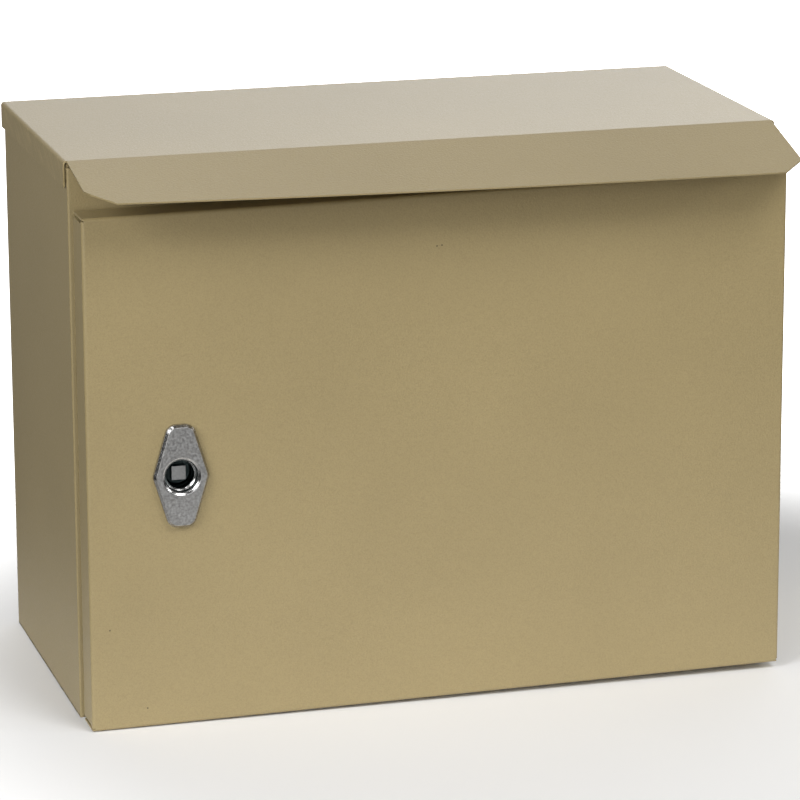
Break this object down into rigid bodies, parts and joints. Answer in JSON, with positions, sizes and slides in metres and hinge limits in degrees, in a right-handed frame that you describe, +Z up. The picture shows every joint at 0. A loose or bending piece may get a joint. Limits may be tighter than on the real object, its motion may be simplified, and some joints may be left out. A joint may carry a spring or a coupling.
{
  "type": "meter box",
  "caption": "Wall-mounted outdoor electricity meter box: folded steel body, roof with sloping rain hood, overlay pan door on butt hinges, and a square-key cam lock.",
  "frame": {"origin": "middle of the four wall fixing holes, on the outer face of the back panel", "axes": "+X to the right across the door, +Y to the wall, +Z up"},
  "size_m": [0.4074, 0.2426, 0.3122],
  "materials": {
    "painted_sheet": "fine textured powder coat, satin",
    "zinc_casting": "tumbled zinc die casting",
    "plated_steel": "bright zinc plate",
    "galvanised_sheet": "galvanised, dull",
    "seal_foam": "matt closed-cell foam",
    "panel_board": "matt phenolic board",
    "earth_brass": "machined"
  },
  "bodies": {
    "enclosure": {"body_shell": "painted_sheet", "base_plate": "painted_sheet", "front_frame": "painted_sheet", "roof_hood": "painted_sheet", "upper_hinge_body_leaf": "painted_sheet", "lower_hinge_body_leaf": "painted_sheet", "upper_hinge_pin": "plated_steel", "lower_hinge_pin": "plated_steel", "panel_screws": "plated_steel", "panel_nuts": "plated_steel", "left_panel_rail": "galvanised_sheet", "right_panel_rail": "galvanised_sheet", "meter_panel": "panel_board", "earth_stud": "earth_brass", "earth_washer": "earth_brass", "earth_nut": "earth_brass"},
    "door": {"door_panel": "painted_sheet", "door_seal": "seal_foam", "upper_hinge_door_leaf": "painted_sheet", "lower_hinge_door_leaf": "painted_sheet", "lock_plate": "zinc_casting", "lock_washer": "plated_steel", "lock_nut": "zinc_casting"},
    "lock": {"lock_spindle": "plated_steel", "lock_cam": "galvanised_sheet", "cam_washer": "plated_steel", "cam_screw": "plated_steel"}
  },
  "joints": [
    {"name": "door_hinge", "type": "hinge", "parent": "enclosure", "child": "door", "pos_m": [0.2022, -0.1836, 0], "axis": [0, 0, 1], "range_deg": [0, 180]},
    {"name": "lock_turn", "type": "hinge", "parent": "door", "child": "lock", "pos_m": [-0.1475, -0.209, -0.013], "axis": [0, 1, 0], "range_deg": [0, 90]}
  ]
}
